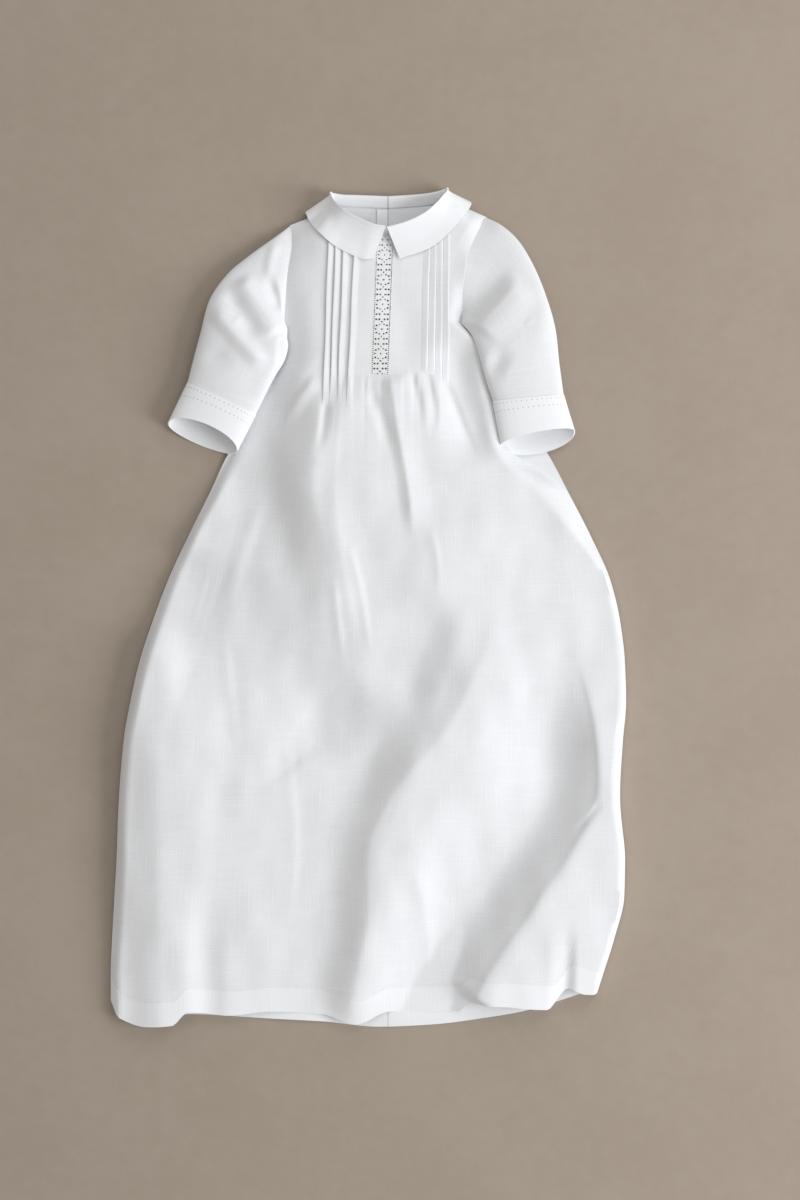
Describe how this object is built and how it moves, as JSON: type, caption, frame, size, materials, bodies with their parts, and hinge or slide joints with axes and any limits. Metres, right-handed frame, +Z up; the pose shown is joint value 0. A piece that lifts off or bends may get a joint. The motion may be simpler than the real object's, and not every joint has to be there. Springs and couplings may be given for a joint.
{
  "type": "christening gown",
  "caption": "Long white linen christening gown laid flat on its back, with a rounded collar, long sleeves, pin tucks, a lace strip down the yoke and a gathered skirt.",
  "frame": {"origin": "on the surface that the gown lies on, below the middle of its bounding box", "axes": "+X to the wearer's left, +Y to the neck, +Z up off the surface, out of the gown's front"},
  "size_m": [0.4941, 0.8025, 0.0296],
  "materials": {
    "white_linen": "matte plain-weave linen with slubs",
    "white_lace": "matte cotton insertion lace"
  },
  "bodies": {
    "root": {"back_left": "white_linen", "back_placket": "white_linen", "back_right": "white_linen", "collar_left": "white_linen", "collar_right": "white_linen", "cuff_left": "white_linen", "cuff_right": "white_linen", "front": "white_linen", "lace_insertion": "white_lace", "pin_tuck_left_1": "white_linen", "pin_tuck_left_2": "white_linen", "pin_tuck_left_3": "white_linen", "pin_tuck_left_4": "white_linen", "pin_tuck_right_1": "white_linen", "pin_tuck_right_2": "white_linen", "pin_tuck_right_3": "white_linen", "pin_tuck_right_4": "white_linen", "sleeve_left": "white_linen", "sleeve_right": "white_linen", "yoke_left": "white_linen", "yoke_right": "white_linen"}
  },
  "joints": []
}
